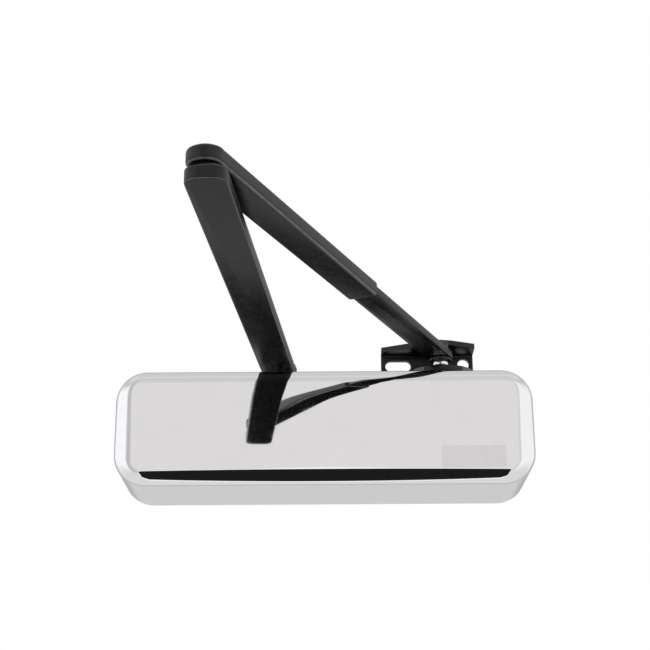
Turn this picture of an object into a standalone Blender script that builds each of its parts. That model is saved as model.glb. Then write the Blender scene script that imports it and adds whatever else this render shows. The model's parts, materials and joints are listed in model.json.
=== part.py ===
"""Surface door closer: rack and pinion body under a clip-on cover, with a regular arm.

Frame: metres, +Z up, X along the body, origin at the centre of the mounting plate's back face.
The door lies at +Y behind the plate, and the cover's face looks along -Y.
"""

import math

import bmesh
import bpy

MM = 0.001
GAP = 0.3 * MM  # clearance between pieces that rest on each other
RUN = 0.3 * MM  # radial clearance of a turning fit
MERGE = 0.00001
ROUND_STEPS = 24
SMALL_STEPS = 14
ALONG_X = (0.0, math.pi / 2, 0.0)
FACING_FRONT = (math.pi / 2, 0.0, 0.0)  # local Z points along -Y, local Y along +Z

# Cover, the visible shell
COVER_LENGTH = 230 * MM
COVER_HEIGHT = 64.4 * MM
COVER_FRONT_Y = -55.4 * MM
COVER_BACK_Y = -0.6 * MM
COVER_WALL = 1.5 * MM
COVER_CORNER_RADIUS = 17.7 * MM
COVER_EDGE_RADIUS = 8.6 * MM
NOTCH_HALF_WIDTH = 10 * MM
NOTCH_FRONT_Y = -39 * MM

# Blank badge, set flush in a shallow pocket of the cover's face
BADGE_SIZE = (35 * MM, 12 * MM)
BADGE_CENTRE = (80.5 * MM, -18.4 * MM)
BADGE_CORNER = 1.5 * MM
BADGE_THICKNESS = 0.3 * MM
BADGE_POCKET_DEPTH = 0.6 * MM

# Sheet clips at the plate's ends, as an outline in the right-hand one's (x, y) plane
CLIP_HALF_WIDTH = 8 * MM
CLIP_OUTLINE_MM = [
    (102.6, -3.3),
    (110.0, -3.3),
    (110.0, -22.0),
    (111.6, -24.0),
    (110.6, -25.0),
    (108.9, -22.4),
    (108.9, -4.5),
    (102.6, -4.5),
]

# Mounting plate and casting
PLATE_SIZE = (216 * MM, 52 * MM)
PLATE_THICKNESS = 3 * MM
PLATE_CORNER = 5 * MM
DOOR_HOLE_RADIUS = 3 * MM
DOOR_HOLE_X = 68 * MM
DOOR_HOLE_Z = 20 * MM
CASTING_X = (-86 * MM, 90 * MM)
CASTING_Z = 24 * MM
CASTING_FRONT_Y = -50 * MM
CASTING_BACK_Y = -PLATE_THICKNESS - GAP
CASTING_EDGE = 3 * MM
FOOT_LENGTH = 12 * MM
FOOT_THICKNESS = 6 * MM
FOOT_HALF_WIDTH = 20 * MM
FOOT_SCREW_Z = 13 * MM
FOOT_SCREW_RADIUS = 2.5 * MM
FOOT_SCREW_HEAD = (4.5 * MM, 4 * MM)

# Spindle axis, bore and gear
SPINDLE_X = -25.2 * MM
SPINDLE_Y = -28.2 * MM
BORE_RADIUS = 18 * MM
BOSS_RADIUS = 14.5 * MM
BOSS_TOP = 29.5 * MM
SEAT_RADIUS = 11 * MM
SEAT_SHOULDER = 21 * MM
GEAR_WELL_RADIUS = 9.9 * MM
JOURNAL_RADIUS = 6.3 * MM
BEARING_WIDTH = 5 * MM
TEETH = 12
PITCH_RADIUS = 8.4 * MM
PRESSURE_ANGLE = math.radians(20)
PINION_TIP_RADIUS = 9.5 * MM
PINION_ROOT_RADIUS = 7.05 * MM
RACK_ADDENDUM = 0.95 * MM
RACK_DEDENDUM = 1.35 * MM
TOOTH_THINNING = 0.15 * MM
GEAR_HALF_WIDTH = 13 * MM

# Piston, spring and adjusters
PISTON_X = (-70 * MM, -3 * MM)
PISTON_RADIUS = 17.7 * MM
SLOT_X = (-58.2 * MM, -14.5 * MM)
SLOT_CLEAR_SIDE = 10.4 * MM
RACK_TEETH = range(-7, 2)
PISTON_SEAL_X = -64 * MM
SEAL_WIDTH = 2.4 * MM
SEAL_DEPTH = 1.8 * MM
CHECK_BALL_RADIUS = 2.2 * MM
CHECK_POCKET_RADIUS = 2.6 * MM
CHECK_POCKET_DEPTH = 8 * MM
CHECK_POCKET_Y = 12 * MM
SPRING_WIRE_RADIUS = 1.9 * MM
SPRING_COIL_RADIUS = 13.3 * MM
SPRING_TURNS = 8
SPRING_POINTS_PER_TURN = 10
SPRING_PLATE_X = (66 * MM, 70 * MM)
SPRING_PLATE_RADIUS = 16.5 * MM
POWER_SCREW_START_X = 57 * MM
POWER_SCREW_RADIUS = 3.5 * MM
POWER_SCREW_HEAD = (5.2 * MM, 4 * MM)
POWER_SCREW_COLLAR = 1.5 * MM
CAP_LENGTH = 11 * MM
CAP_INSET = 2 * MM
CAP_SOCKET_RADIUS = 7 * MM
CAP_SOCKET_DEPTH = 4 * MM
VALVE_RADIUS = 2.4 * MM
VALVE_LENGTH = 17 * MM
VALVE_TIP = 4 * MM
VALVE_GROOVE_X = (6 * MM, 8 * MM)
VALVE_GROOVE_DEPTH = 0.9 * MM
VALVE_RECESS = 0.5 * MM
VALVE_PLACES = {
    "closing_speed_valve": (-8.6 * MM, 18.4 * MM),
    "latching_speed_valve": (-8.6 * MM, -18.4 * MM),
    "backcheck_valve": (-44.6 * MM, 18.4 * MM),
}

# Arm levels, from the cover upwards
ARM_BOTTOM = 34.7 * MM
ARM_THICKNESS = 6.1 * MM
ARM_WIDTH = 18.1 * MM
ARM_HUB_RADIUS = 9.6 * MM
ARM_WASHER = (9 * MM, 1.2 * MM)
ARM_SCREW_RADIUS = 2.5 * MM
ARM_SCREW_HEAD = (5 * MM, 4 * MM)
ARM_SCREW_BOTTOM = 28.5 * MM
SQUARE_HALF = 4.8 * MM
ELBOW_X = -46.3 * MM
ELBOW_Y = -275.9 * MM
ARM_END_REACH = 11.4 * MM
ARM_END_SHOULDER = 6.4 * MM
ARM_EDGE = 0.9 * MM
ELBOW_PIN_RADIUS = 4 * MM
ELBOW_HEAD = (6.15 * MM, 1.7 * MM)
ELBOW_WASHER = (6.6 * MM, 0.8 * MM)
ELBOW_RING_RADIUS = 7.6 * MM
SLEEVE_BOTTOM = 43.7 * MM
SLEEVE_HEIGHT = 7.6 * MM
SLEEVE_WIDTH = 16.3 * MM
SLEEVE_LENGTH = 161 * MM
SLEEVE_HOLLOW_START = 18 * MM
SLEEVE_HEAD_REACH = 10.6 * MM
LOCK_SCREW_RADIUS = 2 * MM
LOCK_SCREW_HEAD = (4 * MM, 3 * MM)
LOCK_SCREW_FROM_END = 9 * MM
BAR_BOTTOM = 45.55 * MM
BAR_THICKNESS = 4.25 * MM
BAR_WIDTH = 13.8 * MM
BAR_INNER_END = 62 * MM
SHOE_X = 66.45 * MM
SHOE_Y = -27.95 * MM

# Frame bracket
BRACKET_X = (33.5 * MM, 87.5 * MM)
BRACKET_SHEET = 2.8 * MM
BRACKET_PLATE = 3 * MM
TONGUE_BOTTOM = 37.0 * MM
TONGUE_RADIUS = 20 * MM
TONGUE_CENTRE_Y = -15.5 * MM
FLANGE_BOTTOM = 56.3 * MM
FLANGE_EDGE_MM = [(33.5, -10.5), (49.6, -17.5), (60.0, -21.8), (67.0, -23.6), (74.0, -21.8), (87.5, -15.6)]
SLOT_CENTRE = (43.45 * MM, 49.9 * MM)
SLOT_LENGTH = 15.1 * MM
SLOT_WIDTH = 6.6 * MM
ROUND_HOLE = (81.8 * MM, 50.9 * MM)
ROUND_HOLE_RADIUS = 3.4 * MM
PIVOT_SHANK_RADIUS = 3 * MM
PIVOT_SHOULDER_RADIUS = 4.3 * MM
PIVOT_RIVET = (3.65 * MM, 1.2 * MM)
PIVOT_COLLAR = (6 * MM, 1.1 * MM)
PIVOT_NUT = (4.8 * MM, 5.3 * MM)

COLLECTION = bpy.data.collections.new("door_closer")
CUTTERS = bpy.data.collections.new("cutters")


def clear_scene():
    for thing in list(bpy.data.objects):
        bpy.data.objects.remove(thing, do_unlink=True)
    bpy.context.scene.collection.children.link(COLLECTION)
    bpy.context.scene.collection.children.link(CUTTERS)


def make_material(name, colour, roughness, metallic):
    material = bpy.data.materials.new(name)
    material.use_nodes = True
    shader = material.node_tree.nodes["Principled BSDF"]
    shader.inputs["Base Color"].default_value = (*colour, 1.0)
    shader.inputs["Roughness"].default_value = roughness
    shader.inputs["Metallic"].default_value = metallic
    return material


def add_object(name, mesh, material, location=(0, 0, 0), rotation=(0, 0, 0)):
    piece = bpy.data.objects.new(name, mesh)
    piece.location = location
    piece.rotation_euler = rotation
    if material is not None:
        mesh.materials.append(material)
    COLLECTION.objects.link(piece)
    return piece


def make_cutter(piece):
    """Move a piece to the cutters, where it only shapes other pieces."""
    COLLECTION.objects.unlink(piece)
    CUTTERS.objects.link(piece)
    piece.hide_render = True
    piece.display_type = "WIRE"
    return piece


def combine(piece, tool, operation):
    modifier = piece.modifiers.new(operation.lower(), "BOOLEAN")
    modifier.operation = operation
    modifier.object = make_cutter(tool)


def cut(piece, tool):
    combine(piece, tool, "DIFFERENCE")


def join(piece, tool):
    combine(piece, tool, "UNION")


def soften(piece, width, segments=1, angle=40):
    modifier = piece.modifiers.new("soft_edges", "BEVEL")
    modifier.width = width
    modifier.segments = segments
    modifier.limit_method = "ANGLE"
    modifier.angle_limit = math.radians(angle)


def shade_round(mesh):
    mesh.shade_smooth()
    mesh.set_sharp_from_angle(angle=math.radians(35))


def box(name, material, low, high, location=(0, 0, 0), rotation=(0, 0, 0)):
    """A box between two corners, given in the object's own frame."""
    mesh = bpy.data.meshes.new(name)
    form = bmesh.new()
    bmesh.ops.create_cube(form, size=1)
    size = [b - a for a, b in zip(low, high)]
    middle = [(a + b) / 2 for a, b in zip(low, high)]
    bmesh.ops.scale(form, vec=size, verts=form.verts)
    bmesh.ops.translate(form, vec=middle, verts=form.verts)
    form.to_mesh(mesh)
    form.free()
    return add_object(name, mesh, material, location, rotation)


def turned(name, material, profile, location=(0, 0, 0), rotation=(0, 0, 0), steps=ROUND_STEPS, ring=False):
    """Turn a profile of (radius, height), which runs down its outer side, about the local Z axis."""
    mesh = bpy.data.meshes.new(name)
    form = bmesh.new()
    points = [form.verts.new((radius, 0, height)) for radius, height in profile]
    for first, second in zip(points, points[1:]):
        form.edges.new((first, second))
    if ring:
        form.edges.new((points[-1], points[0]))
    form.to_mesh(mesh)
    form.free()
    piece = add_object(name, mesh, material, location, rotation)
    screw = piece.modifiers.new("turn", "SCREW")
    screw.steps = steps
    screw.render_steps = steps
    screw.use_merge_vertices = True
    screw.merge_threshold = MERGE
    screw.use_smooth_shade = True
    return piece


def disc(name, material, radius, bottom, top, **place):
    return turned(name, material, [(0, top), (radius, top), (radius, bottom), (0, bottom)], **place)


def stack(name, material, levels, **place):
    """A solid turned piece from (radius, bottom, top) levels, listed from the top down."""
    profile = [(0, levels[0][2])]
    for radius, bottom, top in levels:
        profile += [(radius, top), (radius, bottom)]
    profile.append((0, levels[-1][1]))
    return turned(name, material, profile, **place)


def washer(name, material, inner, outer, bottom, top, **place):
    profile = [(outer, top), (outer, bottom), (inner, bottom), (inner, top)]
    return turned(name, material, profile, ring=True, **place)


def outline_solid(name, material, outline, bottom, top, location=(0, 0, 0), rotation=(0, 0, 0)):
    """Extrude a flat outline between two heights of the object's own frame."""
    curve = bpy.data.curves.new(name + "_outline", "CURVE")
    curve.dimensions = "2D"
    curve.fill_mode = "BOTH"
    curve.extrude = (top - bottom) / 2
    spline = curve.splines.new("POLY")
    spline.points.add(len(outline) - 1)
    for point, (x, y) in zip(spline.points, outline):
        point.co = (x, y, 0, 1)
    spline.use_cyclic_u = True
    guide = bpy.data.objects.new(name + "_guide", curve)
    COLLECTION.objects.link(guide)
    bpy.context.view_layer.update()
    evaluated = guide.evaluated_get(bpy.context.evaluated_depsgraph_get())
    mesh = bpy.data.meshes.new_from_object(evaluated)
    form = bmesh.new()
    form.from_mesh(mesh)
    bmesh.ops.remove_doubles(form, verts=form.verts, dist=MERGE)
    bmesh.ops.translate(form, vec=(0, 0, (top + bottom) / 2), verts=form.verts)
    form.to_mesh(mesh)
    form.free()
    bpy.data.objects.remove(guide, do_unlink=True)
    mesh.name = name
    return add_object(name, mesh, material, location, rotation)


def arc(centre, radius, start, end, steps):
    """Points on an arc between two angles in degrees."""
    points = []
    for step in range(steps + 1):
        angle = math.radians(start + (end - start) * step / steps)
        points.append((centre[0] + radius * math.cos(angle), centre[1] + radius * math.sin(angle)))
    return points


def rounded_rectangle(half_x, half_y, radius, steps=4):
    points = []
    corners = [(1, 1, 0), (-1, 1, 90), (-1, -1, 180), (1, -1, 270)]
    for sign_x, sign_y, start in corners:
        centre = (sign_x * (half_x - radius), sign_y * (half_y - radius))
        points += arc(centre, radius, start, start + 90, steps)
    return points


def stadium(length, width, steps=10):
    reach = (length - width) / 2
    return arc((reach, 0), width / 2, -90, 90, steps) + arc((-reach, 0), width / 2, 90, 270, steps)


def cylinder_cutter(name, radius, location, rotation, length, steps=ROUND_STEPS):
    place = dict(location=location, rotation=rotation, steps=steps)
    return disc(name, None, radius, -length / 2, length / 2, **place)


def gear_outline():
    """The pinion's outline: involute flanks on the base circle, with radial roots."""
    base = PITCH_RADIUS * math.cos(PRESSURE_ANGLE)
    thickness = math.pi * PITCH_RADIUS / TEETH - TOOTH_THINNING
    base_half = thickness / (2 * PITCH_RADIUS) + math.tan(PRESSURE_ANGLE) - PRESSURE_ANGLE
    radii = [base + (PINION_TIP_RADIUS - base) * step / 4 for step in range(5)]
    flank = [(PINION_ROOT_RADIUS, base_half)]
    for radius in radii:
        roll = math.acos(base / radius)
        flank.append((radius, base_half - math.tan(roll) + roll))
    points = []
    for tooth in range(TEETH):
        middle = math.pi / 2 + 2 * math.pi * tooth / TEETH
        for radius, half in flank:
            points.append((radius * math.cos(middle - half), radius * math.sin(middle - half)))
        for radius, half in reversed(flank):
            points.append((radius * math.cos(middle + half), radius * math.sin(middle + half)))
    return points


def rack_window():
    """The window through the piston: rack teeth on the door side, clearance on the other."""
    pitch = 2 * math.pi * PITCH_RADIUS / TEETH
    slope = math.tan(PRESSURE_ANGLE)
    half = pitch / 4 - TOOTH_THINNING / 2
    root_y = PITCH_RADIUS + RACK_DEDENDUM
    tip_y = PITCH_RADIUS - RACK_ADDENDUM
    root_half = half + RACK_DEDENDUM * slope
    tip_half = half - RACK_ADDENDUM * slope
    left = SLOT_X[0] - SPINDLE_X
    right = SLOT_X[1] - SPINDLE_X
    points = [(left, -SLOT_CLEAR_SIDE), (right, -SLOT_CLEAR_SIDE), (right, root_y)]
    for number in reversed(RACK_TEETH):
        middle = (number + 0.5) * pitch
        points += [(middle + root_half, root_y), (middle + tip_half, tip_y)]
        points += [(middle - tip_half, tip_y), (middle - root_half, root_y)]
    points.append((left, root_y))
    return points


def grooved_plug(name, material, ends, groove_x):
    """A plug that fits the main bore, with a groove for its ring; its axis is the bore's."""
    half = SEAL_WIDTH / 2 + GAP
    floor = PISTON_RADIUS - SEAL_DEPTH - GAP
    low, high = ends
    profile = [(0, high), (PISTON_RADIUS, high), (PISTON_RADIUS, groove_x + half), (floor, groove_x + half)]
    profile += [(floor, groove_x - half), (PISTON_RADIUS, groove_x - half), (PISTON_RADIUS, low), (0, low)]
    return turned(name, material, profile, location=(0, SPINDLE_Y, 0), rotation=ALONG_X, steps=28)


def bore_ring(name, material, groove_x):
    half = SEAL_WIDTH / 2
    inner = PISTON_RADIUS - SEAL_DEPTH
    place = dict(location=(0, SPINDLE_Y, 0), rotation=ALONG_X, steps=ROUND_STEPS)
    return washer(name, material, inner, PISTON_RADIUS, groove_x - half, groove_x + half, **place)


def hex_socket(piece, radius, bottom, top):
    """Cut a hexagonal key socket along the piece's own Z axis."""
    outline = arc((0, 0), radius, 0, 300, 5)
    socket = outline_solid(piece.name + "_socket", None, outline, bottom, top)
    socket.location = piece.location
    socket.rotation_euler = piece.rotation_euler
    cut(piece, socket)


def make_mounting_plate(steel):
    half_x, half_z = PLATE_SIZE[0] / 2, PLATE_SIZE[1] / 2
    outline = rounded_rectangle(half_x, half_z, PLATE_CORNER)
    plate = outline_solid("mounting_plate", steel, outline, 0, PLATE_THICKNESS, rotation=FACING_FRONT)
    for x in (-DOOR_HOLE_X, DOOR_HOLE_X):
        for z in (-DOOR_HOLE_Z, DOOR_HOLE_Z):
            drill_along_y(plate, DOOR_HOLE_RADIUS, x, z)
    for x, z in foot_screw_places():
        drill_along_y(plate, FOOT_SCREW_RADIUS + RUN, x, z)
    return plate


def drill_along_y(piece, radius, x, z, length=40 * MM):
    name = "{}_hole_{:.0f}_{:.0f}".format(piece.name, x / MM, z / MM)
    cut(piece, cylinder_cutter(name, radius, (x, 0, z), FACING_FRONT, length, SMALL_STEPS))


def foot_screw_places():
    places = []
    for x in (CASTING_X[0] - FOOT_LENGTH / 2, CASTING_X[1] + FOOT_LENGTH / 2):
        for z in (-FOOT_SCREW_Z, FOOT_SCREW_Z):
            places.append((x, z))
    return places


def make_casting(aluminium):
    low = (CASTING_X[0], CASTING_FRONT_Y, -CASTING_Z)
    high = (CASTING_X[1], CASTING_BACK_Y, CASTING_Z)
    casting = box("body_casting", aluminium, low, high)
    soften(casting, CASTING_EDGE, 2)
    foot_front = CASTING_BACK_Y - FOOT_THICKNESS
    feet = {
        "left": (CASTING_X[0] - FOOT_LENGTH, CASTING_X[0] + 3 * MM),
        "right": (CASTING_X[1] - 3 * MM, CASTING_X[1] + FOOT_LENGTH),
    }
    for side, (start, end) in feet.items():
        foot_low = (start, foot_front, -FOOT_HALF_WIDTH)
        foot_high = (end, CASTING_BACK_Y, FOOT_HALF_WIDTH)
        join(casting, box("casting_foot_" + side, None, foot_low, foot_high))
    spindle_axis = (SPINDLE_X, SPINDLE_Y, 0)
    axis = dict(location=spindle_axis, steps=28)
    join(casting, disc("casting_boss", None, BOSS_RADIUS, -BOSS_TOP, BOSS_TOP, **axis))
    beyond = BOSS_TOP + 2 * MM
    levels = [
        (SEAT_RADIUS, SEAT_SHOULDER, beyond),
        (GEAR_WELL_RADIUS, -SEAT_SHOULDER, SEAT_SHOULDER),
        (SEAT_RADIUS, -beyond, -SEAT_SHOULDER),
    ]
    cut(casting, stack("casting_well", None, levels, **axis))
    middle = (sum(CASTING_X) / 2, SPINDLE_Y, 0)
    length = CASTING_X[1] - CASTING_X[0] + 10 * MM
    cut(casting, cylinder_cutter("casting_bore", BORE_RADIUS, middle, ALONG_X, length, 28))
    for name, (y, z) in VALVE_PLACES.items():
        place = (CASTING_X[0], y, z)
        depth = 2 * (VALVE_LENGTH + 2 * MM)
        cut(casting, cylinder_cutter(name + "_hole", VALVE_RADIUS + RUN, place, ALONG_X, depth, SMALL_STEPS))
    for x, z in foot_screw_places():
        drill_along_y(casting, FOOT_SCREW_RADIUS + RUN, x, z)
    return casting


def make_foot_screws(steel):
    head_radius, head_height = FOOT_SCREW_HEAD
    seat = -CASTING_BACK_Y + FOOT_THICKNESS + GAP
    for number, (x, z) in enumerate(foot_screw_places(), start=1):
        levels = [(head_radius, seat, seat + head_height), (FOOT_SCREW_RADIUS, GAP, seat)]
        place = dict(location=(x, 0, z), rotation=FACING_FRONT, steps=SMALL_STEPS)
        screw = stack("body_screw_{}".format(number), steel, levels, **place)
        hex_socket(screw, FOOT_SCREW_RADIUS, seat + head_height / 2, seat + 2 * head_height)


def make_end_caps(steel, rubber):
    left = (CASTING_X[0] + CAP_INSET, CASTING_X[0] + CAP_INSET + CAP_LENGTH)
    right = (CASTING_X[1] - CAP_INSET - CAP_LENGTH, CASTING_X[1] - CAP_INSET)
    left_cap = grooved_plug("left_end_cap", steel, left, sum(left) / 2)
    hex_socket(left_cap, CAP_SOCKET_RADIUS, left[0] - 2 * MM, left[0] + CAP_SOCKET_DEPTH)
    right_cap = grooved_plug("right_end_cap", steel, right, sum(right) / 2)
    hole_centre = (sum(right) / 2, SPINDLE_Y, 0)
    hole_radius = POWER_SCREW_RADIUS + RUN
    cut(right_cap, cylinder_cutter("right_cap_hole", hole_radius, hole_centre, ALONG_X, 2 * CAP_LENGTH, 24))
    bore_ring("left_cap_o_ring", rubber, sum(left) / 2)
    bore_ring("right_cap_o_ring", rubber, sum(right) / 2)


def make_spindle_bearings(steel, rubber):
    axis = dict(location=(SPINDLE_X, SPINDLE_Y, 0), steps=28)
    inner = JOURNAL_RADIUS + RUN
    outer = SEAT_RADIUS - GAP
    start = SEAT_SHOULDER + GAP
    end = start + BEARING_WIDTH
    lid_end = BOSS_TOP - GAP
    washer("upper_bearing", steel, inner, outer, start, end, **axis)
    washer("lower_bearing", steel, inner, outer, -end, -start, **axis)
    washer("spindle_seal", rubber, inner, outer, end + GAP, lid_end, **axis)
    disc("lower_bearing_cap", steel, outer, -lid_end, -end - GAP, **axis)


def make_spring(steel):
    """The closing spring, between the piston and the spring plate."""
    start = PISTON_X[1] + GAP + SPRING_WIRE_RADIUS
    end = SPRING_PLATE_X[0] - GAP - SPRING_WIRE_RADIUS
    count = SPRING_TURNS * SPRING_POINTS_PER_TURN + 1
    curve = bpy.data.curves.new("closing_spring", "CURVE")
    curve.dimensions = "3D"
    curve.bevel_depth = SPRING_WIRE_RADIUS
    curve.bevel_resolution = 2
    curve.use_fill_caps = True
    spline = curve.splines.new("POLY")
    spline.points.add(count - 1)
    for number, point in enumerate(spline.points):
        angle = 2 * math.pi * number / SPRING_POINTS_PER_TURN
        y = SPRING_COIL_RADIUS * math.cos(angle)
        z = SPRING_COIL_RADIUS * math.sin(angle)
        point.co = (start + (end - start) * number / (count - 1), y, z, 1)
    add_object("closing_spring", curve, steel, location=(0, SPINDLE_Y, 0))


def make_piston(steel, rubber, brass):
    piston = grooved_plug("piston", steel, PISTON_X, PISTON_SEAL_X)
    window = outline_solid("piston_window", None, rack_window(), -BORE_RADIUS, BORE_RADIUS)
    window.location = (SPINDLE_X, SPINDLE_Y, 0)
    cut(piston, window)
    pocket_y = SPINDLE_Y + CHECK_POCKET_Y
    pocket = cylinder_cutter(
        "piston_pocket", CHECK_POCKET_RADIUS, (PISTON_X[1], pocket_y, 0), ALONG_X, 2 * CHECK_POCKET_DEPTH, 20
    )
    cut(piston, pocket)
    bore_ring("piston_seal", rubber, PISTON_SEAL_X)
    ball_x = PISTON_X[1] - CHECK_POCKET_DEPTH + CHECK_BALL_RADIUS + GAP
    mesh = bpy.data.meshes.new("check_ball")
    form = bmesh.new()
    bmesh.ops.create_uvsphere(form, u_segments=12, v_segments=8, radius=CHECK_BALL_RADIUS)
    form.to_mesh(mesh)
    form.free()
    mesh.shade_smooth()
    add_object("check_ball", mesh, steel, location=(ball_x, pocket_y, 0))
    seat = dict(location=(0, pocket_y, 0), rotation=ALONG_X, steps=SMALL_STEPS)
    seat_start = ball_x + CHECK_BALL_RADIUS + GAP
    washer("check_ball_seat", brass, 1 * MM, CHECK_POCKET_RADIUS - GAP, seat_start, PISTON_X[1] - GAP, **seat)


def make_adjusters(steel, brass, rubber):
    axis = dict(location=(0, SPINDLE_Y, 0), rotation=ALONG_X)
    plate_inner = POWER_SCREW_RADIUS + RUN
    washer("spring_plate", steel, plate_inner, SPRING_PLATE_RADIUS, *SPRING_PLATE_X, steps=28, **axis)
    head_radius, head_height = POWER_SCREW_HEAD
    head_start = CASTING_X[1] - CAP_INSET + GAP
    collar_end = CASTING_X[1] - CAP_INSET - CAP_LENGTH - GAP
    levels = [
        (head_radius, head_start, head_start + head_height),
        (POWER_SCREW_RADIUS, collar_end, head_start),
        (head_radius, collar_end - POWER_SCREW_COLLAR, collar_end),
        (POWER_SCREW_RADIUS, POWER_SCREW_START_X, collar_end - POWER_SCREW_COLLAR),
    ]
    power = stack("power_screw", steel, levels, steps=20, **axis)
    hex_socket(power, POWER_SCREW_RADIUS, head_start + head_height / 2, head_start + 2 * head_height)
    tip_start = VALVE_LENGTH - VALVE_TIP
    groove_start, groove_end = VALVE_GROOVE_X
    for name, (y, z) in VALVE_PLACES.items():
        place = dict(location=(CASTING_X[0], y, z), rotation=ALONG_X, steps=SMALL_STEPS)
        levels = [
            (VALVE_RADIUS / 2, tip_start, VALVE_LENGTH),
            (VALVE_RADIUS, groove_end, tip_start),
            (VALVE_RADIUS - VALVE_GROOVE_DEPTH, groove_start, groove_end),
            (VALVE_RADIUS, VALVE_RECESS, groove_start),
        ]
        valve = stack(name, brass, levels, **place)
        hex_socket(valve, VALVE_RADIUS * 0.6, -VALVE_RECESS, VALVE_RECESS + 2 * MM)
        ring_inner = VALVE_RADIUS - VALVE_GROOVE_DEPTH + GAP
        ring = (groove_start + GAP, groove_end - GAP)
        washer(name + "_o_ring", rubber, ring_inner, VALVE_RADIUS, *ring, **place)


def make_cover(chrome, badge_finish):
    """The cover: a box open at the back, its corners and front edge rounded, then thickened inwards."""
    mesh = bpy.data.meshes.new("cover_shell")
    form = bmesh.new()
    bmesh.ops.create_cube(form, size=1)
    depth = COVER_BACK_Y - COVER_FRONT_Y
    middle_y = (COVER_BACK_Y + COVER_FRONT_Y) / 2
    bmesh.ops.scale(form, vec=(COVER_LENGTH, depth, COVER_HEIGHT), verts=form.verts)
    bmesh.ops.translate(form, vec=(0, middle_y, 0), verts=form.verts)
    back = [face for face in form.faces if face.normal.y > 0.9]
    bmesh.ops.delete(form, geom=back, context="FACES_ONLY")
    sides = [edge for edge in form.edges if abs(edge.verts[0].co.y - edge.verts[1].co.y) > depth / 2]
    bmesh.ops.bevel(
        form, geom=sides, offset=COVER_CORNER_RADIUS, segments=6, profile=0.5, affect="EDGES"
    )
    rim_y = COVER_FRONT_Y + MERGE
    rim = [edge for edge in form.edges if all(vertex.co.y < rim_y for vertex in edge.verts)]
    bmesh.ops.bevel(form, geom=rim, offset=COVER_EDGE_RADIUS, segments=4, profile=0.5, affect="EDGES")
    form.to_mesh(mesh)
    form.free()
    shade_round(mesh)
    cover = add_object("cover_shell", mesh, chrome)
    wall = cover.modifiers.new("wall", "SOLIDIFY")
    wall.thickness = COVER_WALL
    wall.offset = -1
    wall.use_even_offset = True
    front = NOTCH_FRONT_Y + NOTCH_HALF_WIDTH
    notch_outline = [(NOTCH_HALF_WIDTH, 5 * MM), (-NOTCH_HALF_WIDTH, 5 * MM)]
    notch_outline += arc((0, front), NOTCH_HALF_WIDTH, 180, 360, 10)
    cover_top = COVER_HEIGHT / 2
    notch = outline_solid("cover_notch", None, notch_outline, cover_top - 6 * MM, cover_top + 5 * MM)
    notch.location.x = SPINDLE_X
    cut(cover, notch)
    half_x, half_z = BADGE_SIZE[0] / 2, BADGE_SIZE[1] / 2
    place = dict(location=(BADGE_CENTRE[0], 0, BADGE_CENTRE[1]), rotation=FACING_FRONT)
    pocket_outline = rounded_rectangle(half_x + GAP, half_z + GAP, BADGE_CORNER)
    floor = -COVER_FRONT_Y - BADGE_POCKET_DEPTH
    cut(cover, outline_solid("badge_pocket", None, pocket_outline, floor, floor + 5 * MM, **place))
    badge_outline = rounded_rectangle(half_x, half_z, BADGE_CORNER)
    face = -COVER_FRONT_Y
    outline_solid("cover_badge", badge_finish, badge_outline, face - BADGE_THICKNESS, face, **place)


def make_cover_clips(steel):
    """Two sheet clips at the plate's ends, which hold the cover."""
    right = [(x * MM, y * MM) for x, y in CLIP_OUTLINE_MM]
    left = [(-x, y) for x, y in reversed(right)]
    outline_solid("cover_clip_right", steel, right, -CLIP_HALF_WIDTH, CLIP_HALF_WIDTH)
    outline_solid("cover_clip_left", steel, left, -CLIP_HALF_WIDTH, CLIP_HALF_WIDTH)


def blunt_end(half_width, straight, reach, exponent, steps=7):
    """An end that is flatter than a semicircle, from +Y round to -Y, along +X from `straight`."""
    points = []
    for step in range(2 * steps + 1):
        angle = math.pi / 2 - math.pi * step / (2 * steps)
        y = half_width * math.copysign(abs(math.sin(angle)) ** (2 / exponent), math.sin(angle))
        x = (reach - straight) * max(math.cos(angle), 0.0) ** (2 / exponent)
        points.append((straight + x, y))
    return points


def make_spindle(steel, arm_paint):
    axis = (SPINDLE_X, SPINDLE_Y, 0)
    spindle = outline_solid(
        "pinion_spindle", steel, gear_outline(), -GEAR_HALF_WIDTH, GEAR_HALF_WIDTH, location=axis
    )
    bottom = -SEAT_SHOULDER - BEARING_WIDTH
    journal_top = ARM_BOTTOM - GAP
    join(spindle, disc("spindle_journal", None, JOURNAL_RADIUS, bottom, journal_top, location=axis))
    square_low = (-SQUARE_HALF, -SQUARE_HALF, journal_top - 1 * MM)
    square_high = (SQUARE_HALF, SQUARE_HALF, ARM_BOTTOM + ARM_THICKNESS - 0.6 * MM)
    join(spindle, box("spindle_square", None, square_low, square_high, location=axis))
    thread = dict(location=axis, steps=SMALL_STEPS)
    thread_bottom = ARM_SCREW_BOTTOM - GAP
    cut(spindle, disc("spindle_thread", None, ARM_SCREW_RADIUS + RUN, thread_bottom, 45 * MM, **thread))
    place = dict(location=axis, steps=20)
    arm_top = ARM_BOTTOM + ARM_THICKNESS
    washer_radius, washer_height = ARM_WASHER
    washer_top = arm_top + GAP + washer_height
    washer("arm_washer", steel, ARM_SCREW_RADIUS + 2 * GAP, washer_radius, arm_top + GAP, washer_top, **place)
    head_radius, head_height = ARM_SCREW_HEAD
    head_bottom = washer_top + GAP
    levels = [
        (head_radius, head_bottom, head_bottom + head_height),
        (ARM_SCREW_RADIUS, ARM_SCREW_BOTTOM, head_bottom),
    ]
    screw = stack("arm_screw", steel, levels, **place)
    hex_socket(screw, head_radius / 2, head_bottom + head_height / 2, head_bottom + 2 * head_height)
    make_main_arm(arm_paint, axis)


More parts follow.
